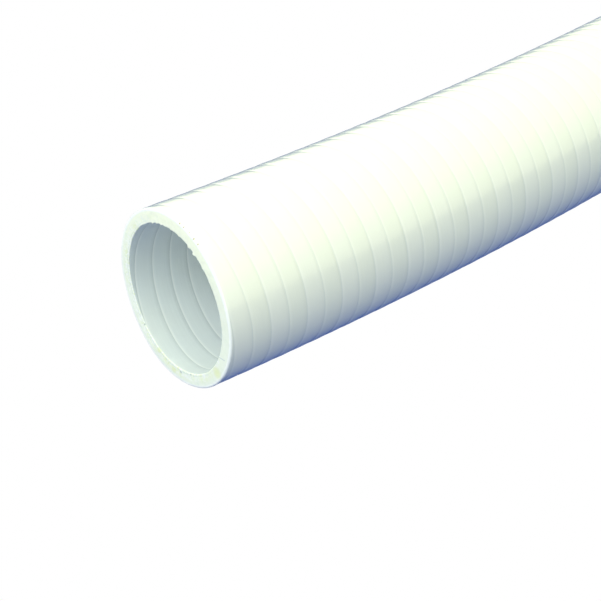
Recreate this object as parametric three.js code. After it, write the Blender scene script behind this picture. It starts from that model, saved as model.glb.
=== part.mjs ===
// Flexible PVC hose, a plain length with both ends cut square.
// Millimetres, +Z up. The hose lies on the floor, with the origin at the centre of its footprint.
// The cut end at -X faces the viewer. From there the hose keeps the bow of its coil for a stretch,
// with the bow's middle towards -Y, and then runs on straight. +X is the line between the two ends.

import * as THREE from "three";

// Sizes of the hose
const hoseLength = 1000; // along the centreline: the hose is sold by the metre
const outerDiameter = 50;
const wallThickness = 4;
const bowLength = 300; // the stretch at the near end that is bowed
const bendRadius = 1300; // of the bowed centreline, in the plane of the floor

// Fineness of the faceted surface
const sidesAround = 48;
const stepsAlong = 20;

// Values that follow from the sizes
const outerRadius = outerDiameter / 2;
const boreRadius = outerRadius - wallThickness;

// A point of the floor plan with the near end at the start and the hose setting off along +X
function planPoint(distance, target) {
  const turn = Math.min(distance, bowLength) / bendRadius;
  const straightRun = Math.max(distance - bowLength, 0);
  const x = bendRadius * Math.sin(turn) + straightRun * Math.cos(turn);
  const y = bendRadius * (1 - Math.cos(turn)) + straightRun * Math.sin(turn);
  return target.set(x, y, 0);
}

// Direction of the line between the two ends in that plan
const farEnd = planPoint(hoseLength, new THREE.Vector3());
const chordAngle = Math.atan2(farEnd.y, farEnd.x);

// The centreline: the plan, turned so that the line between its ends lies along +X
class HoseCentreline extends THREE.Curve {
  getPoint(t, target = new THREE.Vector3()) {
    const turnedBack = new THREE.Matrix4().makeRotationZ(-chordAngle);
    return planPoint(t * hoseLength, target).applyMatrix4(turnedBack);
  }

  getTangent(t, target = new THREE.Vector3()) {
    const heading = Math.min(t * hoseLength, bowLength) / bendRadius - chordAngle;
    return target.set(Math.cos(heading), Math.sin(heading), 0);
  }
}

// Points of a circle about the centreline, one at each corner of the facets
function circlePoints(radius) {
  const points = [];
  for (let i = 0; i < sidesAround; i += 1) {
    const angle = (i * 2 * Math.PI) / sidesAround;
    points.push(new THREE.Vector2(radius * Math.cos(angle), radius * Math.sin(angle)));
  }
  return points;
}

// The wall's section: a round ring about the open bore
function wallSection() {
  const section = new THREE.Shape(circlePoints(outerRadius));
  section.holes.push(new THREE.Path(circlePoints(boreRadius)));
  return section;
}

// The hose: the wall's section carried along the centreline, and laid on the floor
function makeHose() {
  const geometry = new THREE.ExtrudeGeometry(wallSection(), {
    extrudePath: new HoseCentreline(),
    steps: stepsAlong,
    bevelEnabled: false,
  });
  const whitePvc = new THREE.MeshStandardMaterial({ color: 0xf1f4e6, roughness: 0.35, metalness: 0 });
  const hose = new THREE.Mesh(geometry, whitePvc);
  hose.name = "hose";
  geometry.computeBoundingBox();
  const { min, max } = geometry.boundingBox;
  hose.position.set(-(min.x + max.x) / 2, -(min.y + max.y) / 2, -min.z);
  return hose;
}

const group = new THREE.Group();
group.add(makeHose());

export default group;
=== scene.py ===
# Looks of a flexible white PVC hose: a one metre length, sawn square at both ends.
# Metres, +Z up. The hose lies on the floor, and the end at -X is the one in the photograph.
import math

import bpy
from mathutils import Matrix, Vector


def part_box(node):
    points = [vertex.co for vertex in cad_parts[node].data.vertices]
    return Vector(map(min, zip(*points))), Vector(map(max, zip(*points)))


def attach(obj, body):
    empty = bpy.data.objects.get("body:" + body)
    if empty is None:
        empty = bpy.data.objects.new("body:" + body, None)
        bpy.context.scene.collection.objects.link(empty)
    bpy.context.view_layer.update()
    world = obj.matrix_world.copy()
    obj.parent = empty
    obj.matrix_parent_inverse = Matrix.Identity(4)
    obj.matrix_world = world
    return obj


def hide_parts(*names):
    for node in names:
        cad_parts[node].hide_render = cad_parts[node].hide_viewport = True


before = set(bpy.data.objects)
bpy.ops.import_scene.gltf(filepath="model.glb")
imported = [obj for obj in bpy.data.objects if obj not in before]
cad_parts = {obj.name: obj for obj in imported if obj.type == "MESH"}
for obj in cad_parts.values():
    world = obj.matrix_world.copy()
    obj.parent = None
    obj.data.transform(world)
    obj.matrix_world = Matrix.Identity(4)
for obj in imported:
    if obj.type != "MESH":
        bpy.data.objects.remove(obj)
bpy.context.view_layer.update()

MM = 0.001
TURN = 2 * math.pi

# Sizes of the hose
HOSE_LENGTH = 1.0
WALL_THICKNESS = 4 * MM
BOW_LENGTH = 0.3
BEND_RADIUS = 1.3
box_low, box_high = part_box("hose")
OUTER_RADIUS = (box_high[2] - box_low[2]) / 2
BORE_RADIUS = OUTER_RADIUS - WALL_THICKNESS

# The spiral in the wall: a rigid band and a soft band side by side, with a seam between each two
SPIRAL_LEAD = 11.8 * MM
CROWN_POWER = 2.0
SOFT_BAND_POWER = 6.0
SKIN_RELIEF = {
    "seam start": 0.85 * MM,
    "groove width": 0.30 * MM,
    "groove depth": 0.07 * MM,
    "crown": 0.07 * MM,
    "band rise": 0.02 * MM,
}
BORE_RELIEF = {
    "seam start": 1.65 * MM,
    "groove width": 0.28 * MM,
    "groove depth": 0.05 * MM,
    "crown": 0.01 * MM,
    "band rise": 0.0,
}

# The sawn ends
OUTER_EDGE_ROUND = 0.40 * MM
BORE_EDGE_ROUND = 0.20 * MM
CUT_WAVE = 0.22 * MM
CUT_FADE = 12 * MM
SAW_WAVES = ((2, 1.0, 0.5), (3, 2.1, 0.3), (5, 3.7, 0.2))  # waves a turn, shift, share
NEAR_SEED = 1.3
FAR_SEED = 4.1
BURR_HEIGHT = 0.5 * MM
BURR_PLACE = 0.1 * MM
BURR_WIDTH = 0.3 * MM
BURR_LEAN = 0.5
BURR_NOISE_SCALE = 1100.0
BURR_GAPS = (0.5, 6.0)  # where the noise starts to make a burr, and how steeply
BURR_STRETCHES = ((0.205, 0.060, 1.0), (0.310, 0.070, 0.9))  # turns, half width, share
BURR_ELSEWHERE = 0.14
SAW_ROUGHNESS = 0.16 * MM
SAW_NOISE_SCALE = 900.0

# Fineness of the mesh
SIDES_AROUND = 64
CELLS_PER_LEAD = 12
CROWDING = 0.88
BORE_RELIEF_LENGTH = 0.13
QUIET_LENGTH = 25 * MM
PLAIN_STEPS = 37
FACE_AROUND = 384
FACE_ACROSS = 16
FACE_CROWDING = 0.9
MERGE_DISTANCE = 0.01 * MM
SPARE_TURNS = 4
FIRST_TURN = -2

# Kinds of surface, as numbers kept on the mesh
OUTSIDE = 0
BORE = 1
SAWN = 2

# The photograph's camera, solved from the hose's outlines, rims and spiral
IMAGE_SIZE = 601
FOCAL_PIXELS = 1661
SENSOR_WIDTH_MM = 36
CAMERA_AZIMUTH = math.radians(40.15)
CAMERA_TILT_DOWN = math.radians(32.16)
CAMERA_DISTANCE = 0.4335
CAMERA_CLIP = (0.01, 50)
END_CENTRE_PIXEL = (173.6, 299.2)


# The centreline

def plan_point(distance):
    """A point of the floor plan with the near end at the start and the hose setting off along +X."""
    turn = min(distance, BOW_LENGTH) / BEND_RADIUS
    run = max(distance - BOW_LENGTH, 0)
    x = BEND_RADIUS * math.sin(turn) + run * math.cos(turn)
    y = BEND_RADIUS * (1 - math.cos(turn)) + run * math.sin(turn)
    return Vector((x, y, 0))


plan_end = plan_point(HOSE_LENGTH)
START_HEADING = -math.atan2(plan_end.y, plan_end.x)
FAR_HEADING = START_HEADING + BOW_LENGTH / BEND_RADIUS

# The near face's far corner sets the solid's low X, and the far face's corner its high Y
START = Vector((
    box_low[0] - OUTER_RADIUS * math.sin(START_HEADING),
    box_high[1] - OUTER_RADIUS * math.cos(FAR_HEADING),
    OUTER_RADIUS,
))


# The camera

def make_camera():
    """Places the camera so that the near end's centre falls on its pixel."""
    a, e = CAMERA_AZIMUTH, CAMERA_TILT_DOWN
    forward = Vector((math.cos(e) * math.cos(a), math.cos(e) * math.sin(a), -math.sin(e)))
    right = Vector((math.sin(a), -math.cos(a), 0))
    up = right.cross(forward)
    across = (END_CENTRE_PIXEL[0] - IMAGE_SIZE / 2) / FOCAL_PIXELS
    down = (END_CENTRE_PIXEL[1] - IMAGE_SIZE / 2) / FOCAL_PIXELS
    place = START - CAMERA_DISTANCE * (forward + right * across - up * down)
    data = bpy.data.cameras.new("camera")
    data.sensor_width = SENSOR_WIDTH_MM
    data.lens = FOCAL_PIXELS * SENSOR_WIDTH_MM / IMAGE_SIZE
    data.clip_start, data.clip_end = CAMERA_CLIP
    camera = bpy.data.objects.new("camera", data)
    bpy.context.scene.collection.objects.link(camera)
    camera.matrix_world = Matrix((
        (right.x, up.x, -forward.x, place.x),
        (right.y, up.y, -forward.y, place.y),
        (right.z, up.z, -forward.z, place.z),
        (0, 0, 0, 1),
    ))
    bpy.context.scene.camera = camera


# Sums written as nodes

class Wire:
    """An output socket that can be used in sums, each of which adds its own node."""

    def __init__(self, tree, socket):
        self.tree = tree
        self.socket = socket

    def sum_node(self, operation, *values):
        node = self.tree.nodes.new("ShaderNodeMath")
        node.operation = operation
        for entry, value in zip(node.inputs, values):
            feed(self.tree, entry, value)
        return Wire(self.tree, node.outputs[0])

    def __add__(self, other):
        return self.sum_node("ADD", self, other)

    def __radd__(self, other):
        return self.sum_node("ADD", other, self)

    def __sub__(self, other):
        return self.sum_node("SUBTRACT", self, other)

    def __rsub__(self, other):
        return self.sum_node("SUBTRACT", other, self)

    def __mul__(self, other):
        return self.sum_node("MULTIPLY", self, other)

    def __rmul__(self, other):
        return self.sum_node("MULTIPLY", other, self)

    def __truediv__(self, other):
        return self.sum_node("DIVIDE", self, other)

    def sin(self):
        return self.sum_node("SINE", self)

    def cos(self):
        return self.sum_node("COSINE", self)

    def abs(self):
        return self.sum_node("ABSOLUTE", self)

    def floor(self):
        return self.sum_node("FLOOR", self)

    def fraction(self):
        return self.sum_node("FRACT", self)

    def root(self):
        return self.sum_node("SQRT", self)

    def power(self, exponent):
        return self.sum_node("POWER", self, exponent)

    def least(self, other):
        return self.sum_node("MINIMUM", self, other)

    def most(self, other):
        return self.sum_node("MAXIMUM", self, other)

    def above(self, other):
        return self.sum_node("GREATER_THAN", self, other)

    def below(self, other):
        return self.sum_node("LESS_THAN", self, other)

    def clamped(self):
        return self.most(0.0).least(1.0)

    def rising(self, start, gain):
        """0 up to the start, and from there up to 1."""
        return ((self - start) * gain).clamped()

    def peak(self, middle, half_width):
        """1 at the middle, falling to 0 at the half width on both sides."""
        return (1.0 - (self - middle).abs() / half_width).clamped()

    def softened(self):
        """A mask from 0 to 1 with both its corners rounded."""
        return self * self * (3.0 - 2.0 * self)


def feed(tree, entry, value):
    """Links a wire or socket to an input, or sets the input's own value."""
    if isinstance(value, Wire):
        tree.links.new(value.socket, entry)
    elif isinstance(value, bpy.types.NodeSocket):
        tree.links.new(value, entry)
    else:
        entry.default_value = value


def add_node(tree, kind, settings=None, **inputs):
    """A node with its settings and its inputs, whose names have _ for a space."""
    node = tree.nodes.new(kind)
    for name, value in (settings or {}).items():
        setattr(node, name, value)
    for name, value in inputs.items():
        feed(tree, node.inputs[name.replace("_", " ")], value)
    return node


def vector_of(tree, x, y, z):
    """Three numbers as one vector."""
    return Wire(tree, add_node(tree, "ShaderNodeCombineXYZ", X=x, Y=y, Z=z).outputs[0])


def parts_of(tree, vector):
    """A vector's three numbers."""
    node = add_node(tree, "ShaderNodeSeparateXYZ", Vector=vector)
    return [Wire(tree, out) for out in node.outputs]


def combine(tree, operation, first, second):
    """A sum of two vectors, or a vector scaled by a number."""
    node = tree.nodes.new("ShaderNodeVectorMath")
    node.operation = operation
    feed(tree, node.inputs[0], first)
    feed(tree, node.inputs["Scale" if operation == "SCALE" else 1], second)
    return Wire(tree, node.outputs["Vector"])


def mixed(tree, share, first, second):
    """The vector that lies that share of the way from the first to the second."""
    step = combine(tree, "SCALE", combine(tree, "SUBTRACT", second, first), share)
    return combine(tree, "ADD", first, step)


PLAIN_DETAIL = 2.0
RICH_DETAIL = 3.0


def noise(tree, place, scale, detail=PLAIN_DETAIL):
    """Soft noise from 0 to 1."""
    node = add_node(tree, "ShaderNodeTexNoise", Vector=place, Scale=scale, Detail=detail)
    return Wire(tree, node.outputs[0])


SOCKET_KINDS = {
    "length": "NodeSocketFloat",
    "number": "NodeSocketFloat",
    "count": "NodeSocketInt",
    "vector": "NodeSocketVector",
    "mesh": "NodeSocketGeometry",
    "material": "NodeSocketMaterial",
    "yes or no": "NodeSocketBool",
}


class Group:
    """A node group of one tree kind, with named inputs and outputs."""

    def __init__(self, name, tree_kind, inputs, outputs):
        self.tree = bpy.data.node_groups.new(name, tree_kind)
        for direction, sockets in (("INPUT", inputs), ("OUTPUT", outputs)):
            for label, kind in sockets.items():
                self.tree.interface.new_socket(
                    label, in_out=direction, socket_type=SOCKET_KINDS[kind]
                )
        self.entry = self.tree.nodes.new("NodeGroupInput")
        self.exit = self.tree.nodes.new("NodeGroupOutput")

    def __getitem__(self, label):
        return Wire(self.tree, self.entry.outputs[label])

    def put_out(self, label, value):
        feed(self.tree, self.exit.inputs[label], value)


def place_group(tree, group, **inputs):
    """Places a node group in a tree and gives its node."""
    is_geometry = tree.bl_idname == "GeometryNodeTree"
    node = tree.nodes.new("GeometryNodeGroup" if is_geometry else "ShaderNodeGroup")
    node.node_tree = group.tree
    for name, value in inputs.items():
        feed(tree, node.inputs[name.replace("_", " ")], value)
    return node


def passed_on(group, labels):
    """The group's own inputs of those labels, for a group placed inside it."""
    return {label.replace(" ", "_"): group[label] for label in labels}


# Inputs that several groups share
LINE_INPUTS = {
    "bow length": "length",
    "bend radius": "length",
    "start heading": "number",
    "start": "vector",
}
RELIEF_INPUTS = {
    "seam start": "length",
    "groove width": "length",
    "groove depth": "length",
    "crown": "length",
    "band rise": "length",
}
CUT_INPUTS = {
    "hose length": "length",
    "cut wave": "length",
    "cut fade": "length",
}


def named(prefix, labels):
    """The same inputs with a word before each label."""
    return {prefix + " " + label: kind for label, kind in labels.items()}


def relief_of(group, prefix):
    """The group's relief inputs that carry that word, under their plain labels."""
    return {label.replace(" ", "_"): group[prefix + " " + label] for label in RELIEF_INPUTS}


# Node groups that make the wall

def make_centreline_group():
    """Distance along the hose to the centre and the side there."""
    group = Group(
        "hose centreline",
        "GeometryNodeTree",
        {"distance": "length", **LINE_INPUTS},
        {"centre": "vector", "side": "vector"},
    )
    tree = group.tree
    turn = group["distance"].least(group["bow length"]) / group["bend radius"]
    run = (group["distance"] - group["bow length"]).most(0.0)
    x = group["bend radius"] * turn.sin() + run * turn.cos()
    y = group["bend radius"] * (1.0 - turn.cos()) + run * turn.sin()
    turned = add_node(
        tree, "ShaderNodeVectorRotate", {"rotation_type": "Z_AXIS"},
        Vector=vector_of(tree, x, y, 0.0), Angle=group["start heading"],
    )
    heading = turn + group["start heading"]
    group.put_out("centre", combine(tree, "ADD", turned.outputs[0], group["start"]))
    group.put_out("side", vector_of(tree, 0.0 - heading.sin(), heading.cos(), 0.0))
    return group


def make_relief_group():
    """How far a surface lies back from its full radius: seams as grooves, bands as low crowns."""
    group = Group(
        "spiral relief",
        "GeometryNodeTree",
        {"distance": "length", "turns": "number", "lead": "length", **RELIEF_INPUTS},
        {"inset": "length"},
    )
    bands = ((group["distance"] - group["seam start"]) / group["lead"] - group["turns"]) * 2.0
    from_middle = (bands.fraction() - 0.5).abs() * 2.0
    from_seam = (1.0 - from_middle) * group["lead"] / 4.0
    groove = from_seam.peak(0.0, group["groove width"]).softened()
    soft_band = (bands * 0.5).fraction().above(0.5) * (1.0 - from_middle.power(SOFT_BAND_POWER))
    inset = (
        groove * group["groove depth"]
        + from_middle.power(CROWN_POWER) * group["crown"]
        + soft_band * group["band rise"]
    )
    group.put_out("inset", inset)
    return group


def make_wander_group():
    """How far the saw wandered from a square cut, round the wall."""
    group = Group(
        "saw wander",
        "GeometryNodeTree",
        {"turns": "number", "size": "length", "seed": "number"},
        {"shift": "length"},
    )
    waves = [
        (group["turns"] * (TURN * count) + group["seed"] * offset).sin() * share
        for count, offset, share in SAW_WAVES
    ]
    group.put_out("shift", (waves[0] + waves[1] + waves[2]) * group["size"])
    return group


def make_lay_group(centreline):
    """Puts each point at its distance along, and its offsets sideways and upwards."""
    group = Group(
        "lay on centreline",
        "GeometryNodeTree",
        {"mesh": "mesh", "distance": "length", "sideways": "length", "upwards": "length",
         **LINE_INPUTS},
        {"mesh": "mesh"},
    )
    tree = group.tree
    line = place_group(
        tree, centreline, distance=group["distance"], **passed_on(group, LINE_INPUTS)
    )
    offset = combine(tree, "SCALE", line.outputs["side"], group["sideways"])
    level = combine(tree, "ADD", line.outputs["centre"], offset)
    place = combine(tree, "ADD", level, vector_of(tree, 0.0, 0.0, group["upwards"]))
    laid = add_node(tree, "GeometryNodeSetPosition", Geometry=group["mesh"], Position=place)
    group.put_out("mesh", laid.outputs[0])
    return group


def grid_place(tree):
    """The two places of each point on a flat grid."""
    return parts_of(tree, tree.nodes.new("GeometryNodeInputPosition").outputs[0])[:2]


def mark_surface(tree, mesh, wall_map, surface):
    """Keeps the wall's own map and its kind of surface on the mesh."""
    mapped = add_node(
        tree, "GeometryNodeStoreNamedAttribute", {"data_type": "FLOAT2", "domain": "CORNER"},
        Geometry=mesh, Name="wall", Value=wall_map,
    )
    kinds = add_node(
        tree, "GeometryNodeStoreNamedAttribute", {"data_type": "FLOAT", "domain": "FACE"},
        Geometry=mapped.outputs[0], Name="surface", Value=surface,
    )
    return kinds.outputs[0]


def flipped(tree, mesh, selection):
    """The mesh with its faces turned over where the selection says so."""
    return add_node(tree, "GeometryNodeFlipFaces", Mesh=mesh, Selection=selection).outputs[0]


def make_skin_group(relief, wander, lay):
    """A surface wound from one ribbon along the spiral, trimmed square at both its ends."""
    group = Group(
        "wound skin",
        "GeometryNodeTree",
        {"radius": "length", "outwards": "number", "from": "length", "to": "length",
         "edge": "length", "quiet place": "length", "quiet length": "length",
         "first turn": "count", "turn count": "count", "sides": "count", "cells": "count",
         "surface": "number", "faces inwards": "yes or no", "lead": "length",
         **RELIEF_INPUTS, **CUT_INPUTS, **LINE_INPUTS},
        {"mesh": "mesh"},
    )
    tree = group.tree
    ribbon = add_node(
        tree, "GeometryNodeMeshGrid", Size_X=group["turn count"], Size_Y=1.0,
        Vertices_X=group["sides"] * group["turn count"] + 1.0, Vertices_Y=group["cells"] + 1.0,
    )
    x, y = grid_place(tree)
    wound = x + group["turn count"] * 0.5 + group["first turn"]
    across = y + 0.5
    # Columns crowd together at the seams, which lie at 0, a half and 1 across the ribbon
    crowded = across - (across * (2 * TURN)).sin() * (CROWDING / (2 * TURN))
    distance = (wound + crowded) * group["lead"] + group["seam start"]
    trimmed = distance.most(group["from"]).least(group["to"])
    inset = place_group(
        tree, relief, distance=trimmed, turns=wound, lead=group["lead"],
        **passed_on(group, RELIEF_INPUTS),
    )
    loud = ((trimmed - group["quiet place"]).abs() / group["quiet length"]).clamped()
    radius = group["radius"] - group["outwards"] * Wire(tree, inset.outputs["inset"]) * loud
    shift = cut_shift(group, wander, trimmed, wound)
    wall_map = vector_of(tree, (trimmed - group["seam start"]) / group["lead"], wound, 0.0)
    mapped = mark_surface(tree, ribbon.outputs["Mesh"], wall_map, group["surface"])
    angle = wound * TURN
    laid = place_group(
        tree, lay, mesh=mapped, distance=trimmed + shift, sideways=radius * angle.cos(),
        upwards=radius * angle.sin(), **passed_on(group, LINE_INPUTS),
    )
    group.put_out("mesh", flipped(tree, laid.outputs["mesh"], group["faces inwards"]))
    return group


def cut_shift(group, wander, distance, turns):
    """The saw's wander at both ends, fading out along the hose."""
    tree = group.tree
    from_near = distance - group["edge"]
    from_far = group["hose length"] - group["edge"] - distance
    shifts = []
    for from_end, seed in ((from_near, NEAR_SEED), (from_far, FAR_SEED)):
        fade = (1.0 - from_end / group["cut fade"]).clamped()
        node = place_group(tree, wander, turns=turns, size=group["cut wave"], seed=seed)
        shifts.append(fade * Wire(tree, node.outputs["shift"]))
    return shifts[0] + shifts[1]


def make_rim_group(relief, wander):
    """A point of a rim between two of the skin's corners, as shift along, sideways and upwards."""
    group = Group(
        "rim",
        "GeometryNodeTree",
        {"turns": "number", "sides": "count", "radius": "length", "outwards": "number",
         "distance": "length", "size": "length", "seed": "number", "lead": "length",
         **RELIEF_INPUTS},
        {"place": "vector"},
    )
    tree = group.tree
    step = group["turns"] * group["sides"]
    corners = []
    for whole in (step.floor(), step.floor() + 1.0):
        turns = whole / group["sides"]
        inset = place_group(
            tree, relief, distance=group["distance"], turns=turns, lead=group["lead"],
            **passed_on(group, RELIEF_INPUTS),
        )
        radius = group["radius"] - group["outwards"] * Wire(tree, inset.outputs["inset"])
        shift = place_group(tree, wander, turns=turns, size=group["size"], seed=group["seed"])
        angle = turns * TURN
        corners.append(vector_of(
            tree, shift.outputs["shift"], radius * angle.cos(), radius * angle.sin()
        ))
    group.put_out("place", mixed(tree, step.fraction(), *corners))
    return group


def make_face_group(rim, lay):
    """A sawn end: a sheet between the two rims, with rounded edges and a ragged bore edge."""
    group = Group(
        "sawn face",
        "GeometryNodeTree",
        {"outer radius": "length", "bore radius": "length", "outer edge": "length",
         "bore edge": "length", "end distance": "length", "direction": "number",
         "cut wave": "length", "saw roughness": "length", "seed": "number",
         "burr height": "length", "sides": "count", "around": "count", "across": "count",
         "surface": "number", "turned over": "yes or no", "lead": "length",
         **named("outer", RELIEF_INPUTS), **named("bore", RELIEF_INPUTS), **LINE_INPUTS},
        {"mesh": "mesh"},
    )
    tree = group.tree
    sheet = add_node(
        tree, "GeometryNodeMeshGrid", Size_X=1.0, Size_Y=1.0,
        Vertices_X=group["around"] + 1.0, Vertices_Y=group["across"] + 1.0,
    )
    x, y = grid_place(tree)
    turns = x + 0.5
    across = y + 0.5
    # Rows crowd together at both rims
    depth = across - (across * TURN).sin() * (FACE_CROWDING / TURN)
    rims = []
    for name, outwards in (("outer", 1.0), ("bore", -1.0)):
        node = place_group(
            tree, rim, turns=turns, sides=group["sides"], radius=group[name + " radius"],
            outwards=outwards, size=group["cut wave"], seed=group["seed"], lead=group["lead"],
            distance=group["end distance"] + group["direction"] * group[name + " edge"],
            **relief_of(group, name),
        )
        rims.append(Wire(tree, node.outputs["place"]))
    shift, sideways, upwards = parts_of(tree, mixed(tree, depth, *rims))
    wall = group["outer radius"] - group["bore radius"]
    from_bore = (1.0 - depth) * wall
    back = rounded(depth * wall, group["outer edge"]) + rounded(from_bore, group["bore edge"])
    burr = burr_size(group, from_bore, turns, sideways, upwards)
    inwards = 1.0 - burr / group["bore radius"]
    # The saw's dents and bumps, which fade out towards both rims
    rough = (ragged_noise(group, sideways, upwards, SAW_NOISE_SCALE) - 0.5) * 2.0
    dent = rough * depth * (1.0 - depth) * 4.0 * group["saw roughness"]
    distance = (
        group["end distance"] + shift + dent + group["direction"] * (back - burr * BURR_LEAN)
    )
    mapped = mark_surface(
        tree, sheet.outputs["Mesh"], vector_of(tree, depth, turns, 0.0), group["surface"]
    )
    laid = place_group(
        tree, lay, mesh=mapped, distance=distance, sideways=sideways * inwards,
        upwards=upwards * inwards, **passed_on(group, LINE_INPUTS),
    )
    group.put_out("mesh", flipped(tree, laid.outputs["mesh"], group["turned over"]))
    return group


def rounded(from_surface, size):
    """How far a rounded edge lies back from the sawn plane, at that distance from the surface."""
    inside = (size - from_surface).most(0.0)
    return size - (size * size - inside * inside).most(0.0).root()


def ragged_noise(group, sideways, upwards, scale):
    """Noise over a sawn face, from 0 to 1, different at each end."""
    place = vector_of(group.tree, sideways, upwards, group["seed"])
    return noise(group.tree, place, scale)


def burr_size(group, from_bore, turns, sideways, upwards):
    """The height of the saw's burr: ragged, at the bore's edge, and larger in two stretches."""
    ragged = ragged_noise(group, sideways, upwards, BURR_NOISE_SCALE).rising(*BURR_GAPS)
    lip = (from_bore - BURR_PLACE) / BURR_WIDTH
    at_edge = (1.0 - lip * lip).clamped()
    share = BURR_ELSEWHERE
    for middle, half_width, most in BURR_STRETCHES:
        share = turns.peak(middle, half_width) * most + share
    return ragged * at_edge * share * group["burr height"]


def make_plain_bore_group(lay):
    """The bore's middle stretch, far from both ends: rings with no relief."""
    group = Group(
        "plain bore",
        "GeometryNodeTree",
        {"radius": "length", "from": "length", "to": "length", "sides": "count",
         "steps": "count", "surface": "number", "lead": "length", **LINE_INPUTS},
        {"mesh": "mesh"},
    )
    tree = group.tree
    sheet = add_node(
        tree, "GeometryNodeMeshGrid", Size_X=1.0, Size_Y=1.0,
        Vertices_X=group["sides"] + 1.0, Vertices_Y=group["steps"] + 1.0,
    )
    x, y = grid_place(tree)
    distance = group["from"] + (y + 0.5) * (group["to"] - group["from"])
    angle = (x + 0.5) * TURN
    wall_map = vector_of(tree, distance / group["lead"], x + 0.5, 0.0)
    mapped = mark_surface(tree, sheet.outputs["Mesh"], wall_map, group["surface"])
    laid = place_group(
        tree, lay, mesh=mapped, distance=distance, sideways=group["radius"] * angle.cos(),
        upwards=group["radius"] * angle.sin(), **passed_on(group, LINE_INPUTS),
    )
    group.put_out("mesh", flipped(tree, laid.outputs["mesh"], True))
    return group


# The hose's own tree

HOSE_SIZES = {
    "outer radius": OUTER_RADIUS,
    "bore radius": BORE_RADIUS,
    "outer edge": OUTER_EDGE_ROUND,
    "bore edge": BORE_EDGE_ROUND,
    "lead": SPIRAL_LEAD,
    "bore relief length": BORE_RELIEF_LENGTH,
    "quiet length": QUIET_LENGTH,
    "burr height": BURR_HEIGHT,
    "saw roughness": SAW_ROUGHNESS,
    "hose length": HOSE_LENGTH,
    "cut wave": CUT_WAVE,
    "cut fade": CUT_FADE,
    "bow length": BOW_LENGTH,
    "bend radius": BEND_RADIUS,
    "start heading": START_HEADING,
    "merge distance": MERGE_DISTANCE,
    **{"outer " + label: value for label, value in SKIN_RELIEF.items()},
    **{"bore " + label: value for label, value in BORE_RELIEF.items()},
}
HOSE_COUNTS = {
    "sides": SIDES_AROUND,
    "cells": CELLS_PER_LEAD,
    "plain steps": PLAIN_STEPS,
    "face around": FACE_AROUND,
    "face across": FACE_ACROSS,
}


def make_hose_tree():
    """Joins the skins, the bore's middle and the two sawn faces into one closed wall."""
    group = Group(
        "hose wall",
        "GeometryNodeTree",
        {"mesh": "mesh", **{label: "length" for label in HOSE_SIZES},
         **{label: "count" for label in HOSE_COUNTS}, "start": "vector",
         "outside material": "material", "bore material": "material",
         "sawn material": "material"},
        {"mesh": "mesh"},
    )
    tree = group.tree
    relief = make_relief_group()
    wander = make_wander_group()
    lay = make_lay_group(make_centreline_group())
    skin = make_skin_group(relief, wander, lay)
    face = make_face_group(make_rim_group(relief, wander), lay)
    plain_bore = make_plain_bore_group(lay)
    line = passed_on(group, LINE_INPUTS)
    common = {
        "sides": group["sides"], "cells": group["cells"], "lead": group["lead"],
        "quiet_length": group["quiet length"], **passed_on(group, CUT_INPUTS), **line,
    }
    length = group["hose length"]
    lead = group["lead"]
    relief_end = group["bore relief length"]
    far_relief = length - relief_end
    join = tree.nodes.new("GeometryNodeJoinGeometry")
    # The outside has relief all along, so its quiet place lies far off
    outer_skin = place_group(
        tree, skin, radius=group["outer radius"], outwards=1.0, to=length - group["outer edge"],
        edge=group["outer edge"], quiet_place=-HOSE_LENGTH, first_turn=FIRST_TURN,
        turn_count=(length / lead).floor() + float(SPARE_TURNS), surface=float(OUTSIDE),
        **{"from": group["outer edge"]}, **relief_of(group, "outer"), **common,
    )
    far_turn = (far_relief / lead).floor() + float(FIRST_TURN)
    parts = [outer_skin]
    for start, end, quiet, first in (
        (group["bore edge"], relief_end, relief_end, FIRST_TURN),
        (far_relief, length - group["bore edge"], far_relief, far_turn),
    ):
        parts.append(place_group(
            tree, skin, radius=group["bore radius"], outwards=-1.0, to=end,
            edge=group["bore edge"], quiet_place=quiet, first_turn=first,
            turn_count=(relief_end / lead).floor() + float(SPARE_TURNS), surface=float(BORE),
            faces_inwards=True, **{"from": start}, **relief_of(group, "bore"), **common,
        ))
    parts.append(place_group(
        tree, plain_bore, radius=group["bore radius"], to=far_relief, sides=group["sides"],
        steps=group["plain steps"], surface=float(BORE), lead=lead, **{"from": relief_end}, **line,
    ))
    both_reliefs = passed_on(
        group, [*named("outer", RELIEF_INPUTS), *named("bore", RELIEF_INPUTS)]
    )
    rounds = passed_on(group, ("outer radius", "bore radius", "outer edge", "bore edge"))
    for distance, direction, seed, over in (
        (0.0, 1.0, NEAR_SEED, True), (length, -1.0, FAR_SEED, False),
    ):
        parts.append(place_group(
            tree, face, end_distance=distance, direction=direction, cut_wave=group["cut wave"],
            saw_roughness=group["saw roughness"], seed=seed, burr_height=group["burr height"],
            sides=group["sides"], around=group["face around"], across=group["face across"],
            surface=float(SAWN), turned_over=over, lead=lead, **both_reliefs, **rounds, **line,
        ))
    for part in parts:
        tree.links.new(part.outputs["mesh"], join.inputs[0])
    merged = add_node(
        tree, "GeometryNodeMergeByDistance", Geometry=join.outputs[0],
        Distance=group["merge distance"],
    )
    smooth = add_node(tree, "GeometryNodeSetShadeSmooth", Geometry=merged.outputs[0])
    last = add_node(tree, "GeometryNodeRealizeInstances", Geometry=smooth.outputs[0]).outputs[0]
    surface = add_node(
        tree, "GeometryNodeInputNamedAttribute", {"data_type": "FLOAT"}, Name="surface"
    )
    for index, label in ((OUTSIDE, "outside"), (BORE, "bore"), (SAWN, "sawn")):
        same = (Wire(tree, surface.outputs["Attribute"]) - float(index)).abs().below(0.5)
        last = add_node(
            tree, "GeometryNodeSetMaterial", Geometry=last, Selection=same,
            Material=group[label + " material"],
        ).outputs[0]
    group.put_out("mesh", last)
    return group


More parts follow.
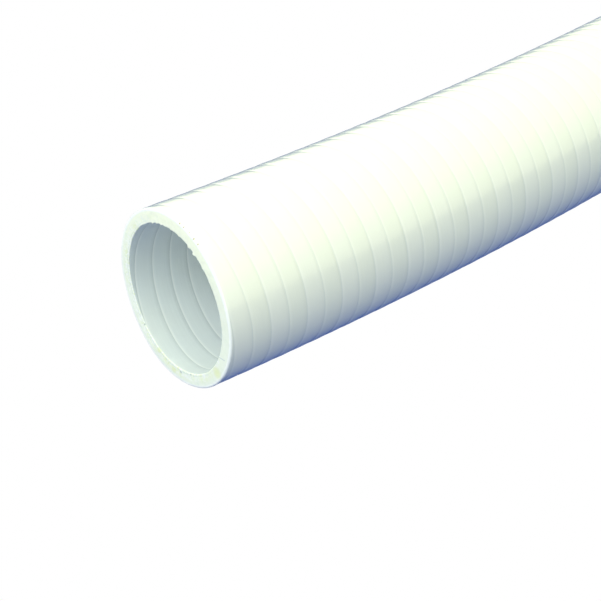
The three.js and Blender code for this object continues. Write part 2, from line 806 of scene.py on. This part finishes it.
def make_hose(materials):
    """Runs the tree on an empty mesh, and keeps what it makes as a plain mesh."""
    tree = make_hose_tree().tree
    maker = bpy.data.objects.new("hose_maker", bpy.data.meshes.new("hose_maker"))
    bpy.context.scene.collection.objects.link(maker)
    modifier = maker.modifiers.new("hose wall", "NODES")
    modifier.node_group = tree
    values = {**HOSE_SIZES, **HOSE_COUNTS, "start": START, **materials}
    for socket in tree.interface.items_tree:
        if socket.in_out == "INPUT" and socket.name in values:
            modifier[socket.identifier] = values[socket.name]
    evaluated = maker.evaluated_get(bpy.context.evaluated_depsgraph_get())
    mesh = bpy.data.meshes.new_from_object(evaluated)
    maker.modifiers.remove(modifier)
    bpy.data.objects.remove(maker)
    mesh.name = "hose_wall"
    hose = bpy.data.objects.new("hose_wall", mesh)
    bpy.context.scene.collection.objects.link(hose)
    return hose


# Colours
OUTER_WHITE = (0.87, 0.885, 0.80, 1)
OUTER_BAND_WHITE = (0.88, 0.892, 0.82, 1)
# Grey of the seams' dirt and of the seam across the near face, also used as painted shade in the
# seam lines and by the sawn face's inner lip
SEAM_GREY_AND_SHADE = (0.62, 0.67, 0.67, 1)
# White of the pale spots on the near face, also used as a painted highlight beside each seam line
PALE_AND_HIGHLIGHT_WHITE = (0.93, 0.94, 0.90, 1)
# Painted shade: the bore's white is darker and bluer than the outside's, for the shade inside the
# hose
BORE_SHADED_WHITE = (0.80, 0.85, 0.86, 1)
SAWN_WHITE = (0.90, 0.92, 0.81, 1)
SAWN_BRIGHT = (0.99, 0.99, 0.80, 1)
SAWN_DULL = (0.80, 0.87, 0.74, 1)
CREAM = (0.84, 0.88, 0.60, 1)
CREAM_DEEP = (0.84, 0.87, 0.56, 1)
# Painted highlight: the bright white along the sawn rims and in flecks
RIM_HIGHLIGHT_WHITE = (0.98, 0.98, 0.95, 1)
CUT_SHADE = (0.30, 0.36, 0.36, 1)
SPECK_BROWN = (0.42, 0.38, 0.27, 1)

# Finish of each surface
ROUGHNESS = {"outside": (0.30, 0.12), "bore": (0.42, 0.12), "sawn": (0.55, 0.2)}  # least, spread
FINE_RELIEF = {  # strength and height
    "outside": (0.35, 0.06 * MM),
    "bore": (0.3, 0.05 * MM),
    "sawn": (0.6, 0.15 * MM),
}
COAT_ROUGHNESS = {"outside": 0.09, "sawn": 0.12}
SUBSURFACE = {"outside": 0.15, "sawn": 0.2}
LIGHT_DEPTH = 1.5 * MM

# Seams: half widths and place of the line, which is seam dirt with painted shade, and of the pale
# lip beside it, which is a painted highlight, in shares of a band
OUTSIDE_SEAM = {"line_width": 0.05, "lip_place": 0.10, "lip_width": 0.06}
BORE_SEAM = {"line_width": 0.04, "lip_place": 0.07, "lip_width": 0.05}
SEAM_HIGHLIGHT_SHARE = {"outside": 0.15, "bore": 0.5}
SEAM_DIRT_AND_SHADE_SHARE = {"outside": 0.3, "bore": 0.8}
MOTTLE_SHARE = {"outside": 0.5, "bore": 0.6}
MOTTLE_START = 0.4

# Grain of the plastic
WINDING_GRAIN = (22.0, 3.0, 0.15)  # noise cells over a lead, round a turn and along a lead
MOTTLE_SCALE = 70.0
FINE_SCALE = 900.0
FINE_SHARE = 0.3

# Patterns on the sawn faces: noise scale, detail, where the pattern starts, and how steeply
CREAM_PATTERN = (260.0, RICH_DETAIL, 0.44, 6.0)
SPECKLE_PATTERN = (1500.0, PLAIN_DETAIL, 0.45, 6.0)
DULL_PATTERN = (700.0, PLAIN_DETAIL, 0.52, 7.0)
GLOSS_SCALE = 400.0
GRIT_SCALE = 1000.0

# Places on the sawn faces, as turns round from the +Y side
TOP_TURN = 0.25
LOW_TURN = 0.893
LOW_SPREAD = 0.5

# Places on the sawn faces, as depth into the wall from 0 to 1
CREAM_START = (0.3, 3.0)  # from here, and how steeply it rises
# Painted highlights along the outer rim, the inner rim and in flecks on the lower side
OUTER_RIM_HIGHLIGHT = (0.24, -1 / 0.08)  # up to here, and how steeply it falls
INNER_RIM_HIGHLIGHT = (0.9, 1 / 0.06)  # from here, and how steeply it rises
HIGHLIGHT_FLECKS_START = 0.45
# Painted shade: a grey line just outside the inner lip, on the lower side
LIP_SHADE_LINE = (0.84, 0.05)  # middle and half width
COATED_RIM = 0.1

# The seam that crosses the photographed face
CROSSING_LINE = (0.549, 0.0022)  # middle and half width, in turns
CROSSING_SLANT = 0.0132  # turns over the whole wall
CROSSING_START = 0.4  # depth

# How strongly each pattern and mark shows
SHARES = {
    "top": 0.9,
    "dull": 0.6,
    "dull above": 0.25,
    "cream above": 0.12,
    # painted highlights on the rims and in flecks
    "rims": 0.9,
    "inner rim": 0.6,
    "flecks": 0.7,
    # painted shade line by the inner lip, broken by speckle
    "groove": 0.7,
    "groove speckle": 0.5,
    "crossing": 0.9,
    # painted shade in the nicks
    "nicks": 0.8,
}

# Marks on the photographed face, as turns round, depth into the wall, and size
CREAM_SPOTS = (
    (0.600, 0.55, 2.1 * MM),
    (0.811, 0.81, 1.0 * MM),
    (0.759, 0.55, 1.2 * MM),
)
PALE_SPOTS = ((0.574, 0.93, 0.7 * MM), (0.650, 0.86, 0.9 * MM), (0.715, 0.62, 0.6 * MM))
# Painted shade: dark spots where the nicks lie in shade
NICK_SHADE_SPOTS = ((0.735, 0.74, 0.5 * MM), (0.872, 0.93, 0.4 * MM), (0.700, 0.90, 0.35 * MM))
BROWN_SPECKS = (
    (0.277, 0.02, 0.34 * MM),
    (0.288, 0.03, 0.26 * MM),
    (0.303, 0.01, 0.22 * MM),
    (0.317, 0.02, 0.36 * MM),
    (0.329, 0.01, 0.32 * MM),
)


# Materials

def new_material(name):
    """A material with one Principled shader."""
    material = bpy.data.materials.new(name)
    material.use_nodes = True
    tree = material.node_tree
    tree.nodes.clear()
    shader = tree.nodes.new("ShaderNodeBsdfPrincipled")
    output = tree.nodes.new("ShaderNodeOutputMaterial")
    tree.links.new(shader.outputs[0], output.inputs["Surface"])
    return material, tree, shader


def tint(tree, share, first, second):
    """A colour between two."""
    node = add_node(tree, "ShaderNodeMix", {"data_type": "RGBA"})
    for index, value in ((0, share), (6, first), (7, second)):
        feed(tree, node.inputs[index], value)
    return node.outputs[2]


def wall_place(tree):
    """The wall's own map: leads along and turns round, or depth and turns on a sawn face."""
    return Wire(tree, add_node(tree, "ShaderNodeUVMap", {"uv_map": "wall"}).outputs[0])


def object_place(tree):
    """The place on the piece, in metres."""
    return Wire(tree, tree.nodes.new("ShaderNodeTexCoord").outputs["Object"])


def finish(tree, shader, kind, base, gloss, relief):
    """Gives a surface its colour, its roughness and the relief too fine for the mesh."""
    least, spread = ROUGHNESS[kind]
    strength, height = FINE_RELIEF[kind]
    bump = add_node(tree, "ShaderNodeBump", Strength=strength, Distance=height, Height=relief)
    feed(tree, shader.inputs["Base Color"], base)
    feed(tree, shader.inputs["Roughness"], least + gloss * spread)
    feed(tree, shader.inputs["Normal"], bump.outputs[0])


def let_light_in(shader, kind):
    """Lets light a little way into the plastic."""
    shader.inputs["Subsurface Weight"].default_value = SUBSURFACE[kind]
    shader.inputs["Subsurface Radius"].default_value = (1.0, 1.0, 1.0)
    shader.inputs["Subsurface Scale"].default_value = LIGHT_DEPTH


def make_bands_group():
    """The spiral's bands and seams as masks, from the wall's own map."""
    group = Group(
        "spiral bands",
        "ShaderNodeTree",
        {"wall": "vector", "line width": "number", "lip place": "number",
         "lip width": "number"},
        {"rigid band": "number", "seam line": "number", "seam lip": "number"},
    )
    leads, turns = parts_of(group.tree, group["wall"])[:2]
    bands = (leads - turns) * 2.0
    from_seam = (bands + 0.5).fraction() - 0.5
    # The seam line carries dirt and painted shade, and the lip beside it a painted highlight
    line = from_seam.peak(0.0, group["line width"])
    lip = from_seam.peak(group["lip place"], group["lip width"])
    group.put_out("rigid band", (bands * 0.5).fraction().above(0.5))
    group.put_out("seam line", line.softened())
    group.put_out("seam lip", lip.softened())
    return group


def make_grain_group():
    """Faint lines that run along the winding, and the fine unevenness of moulded plastic."""
    group = Group(
        "wound grain",
        "ShaderNodeTree",
        {"wall": "vector", "place": "vector"},
        {"lines": "number", "mottle": "number", "fine": "number"},
    )
    tree = group.tree
    leads, turns = parts_of(tree, group["wall"])[:2]
    over_lead, round_turn, along_lead = WINDING_GRAIN
    winding = vector_of(
        tree, (leads - turns) * over_lead, turns * round_turn, leads * along_lead
    )
    group.put_out("lines", noise(tree, winding, 1.0, RICH_DETAIL))
    group.put_out("mottle", noise(tree, group["place"], MOTTLE_SCALE, RICH_DETAIL))
    group.put_out("fine", noise(tree, group["place"], FINE_SCALE))
    return group


def wound_surface(tree, shader, kind, groups, seam, whites):
    """What the outside and the bore share: mottled white, the seams as a line of dirt and painted
    shade with a painted highlight beside it, and the grain.
    """
    bands_group, grain_group = groups
    soft_white, rigid_white, mottled_white = whites
    wall = wall_place(tree)
    bands = place_group(tree, bands_group, wall=wall, **seam)
    grain = place_group(tree, grain_group, wall=wall, place=object_place(tree))
    mottle = Wire(tree, grain.outputs["mottle"])
    lip = Wire(tree, bands.outputs["seam lip"])
    line = Wire(tree, bands.outputs["seam line"])
    base = tint(tree, bands.outputs["rigid band"], soft_white, rigid_white)
    base = tint(tree, (mottle - MOTTLE_START).clamped() * MOTTLE_SHARE[kind], base, mottled_white)
    # A painted highlight beside each seam, then the seam line of dirt and painted shade
    base = tint(tree, lip * SEAM_HIGHLIGHT_SHARE[kind], base, PALE_AND_HIGHLIGHT_WHITE)
    base = tint(tree, line * SEAM_DIRT_AND_SHADE_SHARE[kind], base, SEAM_GREY_AND_SHADE)
    relief = Wire(tree, grain.outputs["lines"]) + Wire(tree, grain.outputs["fine"]) * FINE_SHARE
    finish(tree, shader, kind, base, mottle, relief)


def make_outside_material(groups):
    """The smooth outside: near white, with faint bands and seams."""
    material, tree, shader = new_material("white PVC outside")
    whites = (OUTER_WHITE, OUTER_BAND_WHITE, OUTER_BAND_WHITE)
    wound_surface(tree, shader, "outside", groups, OUTSIDE_SEAM, whites)
    shader.inputs["Coat Weight"].default_value = 1.0
    shader.inputs["Coat Roughness"].default_value = COAT_ROUGHNESS["outside"]
    let_light_in(shader, "outside")
    return material


def make_bore_material(groups):
    """The bore: a little duller and bluer, a white painted with the shade inside the hose, with a
    clear seam line of dirt and painted shade and a painted highlight beside it.
    """
    material, tree, shader = new_material("white PVC bore")
    # The bore's band whites carry painted shade for the inside of the hose
    wound_surface(
        tree, shader, "bore", groups, BORE_SEAM, (BORE_SHADED_WHITE, BORE_SHADED_WHITE, OUTER_WHITE)
    )
    return material


def pattern(tree, place, kind):
    """Noise cut off at a level, as patches from 0 to 1."""
    scale, detail, start, gain = kind
    return noise(tree, place, scale, detail).rising(start, gain)


def spot(depth, turns, mark):
    """A soft round mark on a sawn face."""
    at_turns, at_depth, size = mark
    along = (turns - at_turns) * (TURN * (OUTER_RADIUS + BORE_RADIUS) / 2)
    inwards = (depth - at_depth) * WALL_THICKNESS
    return (1.0 - (along * along + inwards * inwards) / size ** 2).clamped()


def spots(depth, turns, marks):
    """Several marks as one mask."""
    together = spot(depth, turns, marks[0])
    for mark in marks[1:]:
        together = together.most(spot(depth, turns, mark))
    return together


def sawn_colour(tree, depth, turns, place):
    """The sawn faces' colour: bright at the top, painted highlights along the rims and in flecks
    lower down, cream patches lower down, and a painted shade line by the inner lip.
    """
    low = (((turns - LOW_TURN) * TURN).cos() + LOW_SPREAD).clamped()
    top = ((turns - TOP_TURN) * TURN).cos().clamped()
    speckle = pattern(tree, place, SPECKLE_PATTERN)
    dull = pattern(tree, place, DULL_PATTERN) * (low + SHARES["dull above"]).clamped()
    cream = pattern(tree, place, CREAM_PATTERN) * depth.rising(*CREAM_START)
    cream = cream * (low + SHARES["cream above"]).clamped()
    # Painted highlights along the inner rim, in flecks on the lower side and along the outer rim
    inner_rim_highlight = depth.rising(*INNER_RIM_HIGHLIGHT) * speckle * SHARES["inner rim"]
    flecks = speckle * low * depth.above(HIGHLIGHT_FLECKS_START) * SHARES["flecks"]
    bright = (depth.rising(*OUTER_RIM_HIGHLIGHT) + inner_rim_highlight + flecks).clamped()
    # Painted shade: a grey line just outside the inner lip, broken by speckle
    groove = SHARES["groove"] - speckle * SHARES["groove speckle"]
    base = tint(tree, top * SHARES["top"], SAWN_WHITE, SAWN_BRIGHT)
    base = tint(tree, dull * SHARES["dull"], base, SAWN_DULL)
    base = tint(tree, cream, base, CREAM)
    base = tint(tree, bright * SHARES["rims"], base, RIM_HIGHLIGHT_WHITE)
    return tint(tree, depth.peak(*LIP_SHADE_LINE) * low * groove, base, SEAM_GREY_AND_SHADE)


def marked(tree, depth, turns, near, base):
    """The photographed face's own marks over the sawn colour, and painted shade in its nicks."""
    crossing = (turns - depth * CROSSING_SLANT).peak(*CROSSING_LINE)
    crossing = crossing * depth.above(CROSSING_START)
    for mask, colour in (
        (spots(depth, turns, CREAM_SPOTS), CREAM_DEEP),
        (crossing * SHARES["crossing"], SEAM_GREY_AND_SHADE),
        (spots(depth, turns, PALE_SPOTS), PALE_AND_HIGHLIGHT_WHITE),
        # painted shade in the nicks
        (spots(depth, turns, NICK_SHADE_SPOTS) * SHARES["nicks"], CUT_SHADE),
        (spots(depth, turns, BROWN_SPECKS), SPECK_BROWN),
    ):
        base = tint(tree, mask * near, base, colour)
    return base


def make_sawn_material():
    """The sawn faces: matt, with a bright rim of painted highlight, cream patches, a few nicks with
    painted shade, and specks.
    """
    material, tree, shader = new_material("white PVC sawn")
    depth, turns = parts_of(tree, wall_place(tree))[:2]
    place = object_place(tree)
    near = parts_of(tree, place)[0].below(0.0)
    base = marked(tree, depth, turns, near, sawn_colour(tree, depth, turns, place))
    gloss = noise(tree, place, GLOSS_SCALE)
    finish(tree, shader, "sawn", base, gloss, noise(tree, place, GRIT_SCALE, 3.0))
    feed(tree, shader.inputs["Coat Weight"], (1.0 - depth / COATED_RIM).clamped())
    shader.inputs["Coat Roughness"].default_value = COAT_ROUGHNESS["sawn"]
    let_light_in(shader, "sawn")
    return material


# Floor and light

FLOOR_SIZE = 8
FLOOR_WHITE = (1, 1, 1, 1)
FLOOR_DULL = (0.08, 0.08, 0.08, 1)
FLOOR_GLOW = (0.0, 0.05, 0.30, 1)
FLOOR_ROUGHNESS = 0.9
LAMP_SIZE = 0.8
LAMP_AIM = Vector((-0.45, 0, 0.03))
LAMP_PLACE = Vector((-1.45, 0.1, 0.83))
LAMP_POWER = 7.9
LAMP_COLOUR = (0.86, 0.94, 1.0)
SKY_COLOUR = (1.16, 1.24, 1.0, 1)
SKY_STRENGTH = 1.0


def make_floor():
    """A plain pale floor, white to the eye and duller in what it throws back."""
    half = FLOOR_SIZE / 2
    mesh = bpy.data.meshes.new("floor")
    mesh.from_pydata(
        [(-half, -half, 0), (half, -half, 0), (half, half, 0), (-half, half, 0)], [],
        [(0, 1, 2, 3)],
    )
    floor = bpy.data.objects.new("floor", mesh)
    bpy.context.scene.collection.objects.link(floor)
    material, tree, shader = new_material("pale floor")
    shader.inputs["Base Color"].default_value = FLOOR_DULL
    shader.inputs["Roughness"].default_value = FLOOR_ROUGHNESS
    shader.inputs["Specular IOR Level"].default_value = 0.0
    shader.inputs["Emission Color"].default_value = FLOOR_GLOW
    shader.inputs["Emission Strength"].default_value = 1.0
    seen = add_node(tree, "ShaderNodeEmission", Color=FLOOR_WHITE, Strength=1.0)
    path = tree.nodes.new("ShaderNodeLightPath")
    mix = tree.nodes.new("ShaderNodeMixShader")
    feed(tree, mix.inputs[0], path.outputs["Is Camera Ray"])
    feed(tree, mix.inputs[1], shader.outputs[0])
    feed(tree, mix.inputs[2], seen.outputs[0])
    output = tree.nodes["Material Output"]
    tree.links.new(mix.outputs[0], output.inputs["Surface"])
    mesh.materials.append(material)
    return floor


def make_lights():
    """A large soft lamp in front, and a pale sky."""
    data = bpy.data.lights.new("front lamp", "AREA")
    data.size = LAMP_SIZE
    data.energy = LAMP_POWER
    data.color = LAMP_COLOUR
    lamp = bpy.data.objects.new("front lamp", data)
    bpy.context.scene.collection.objects.link(lamp)
    lamp.location = LAMP_PLACE
    lamp.rotation_euler = (LAMP_AIM - LAMP_PLACE).to_track_quat("-Z", "Y").to_euler()
    world = bpy.data.worlds.new("sky")
    world.use_nodes = True
    background = world.node_tree.nodes["Background"]
    background.inputs["Color"].default_value = SKY_COLOUR
    background.inputs["Strength"].default_value = SKY_STRENGTH
    bpy.context.scene.world = world


# The scene

make_camera()
wound_groups = (make_bands_group(), make_grain_group())
hose = make_hose({
    "outside material": make_outside_material(wound_groups),
    "bore material": make_bore_material(wound_groups),
    "sawn material": make_sawn_material(),
})
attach(hose, "root")
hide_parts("hose")
make_floor()
make_lights()
bpy.context.scene.view_settings.view_transform = "Standard"
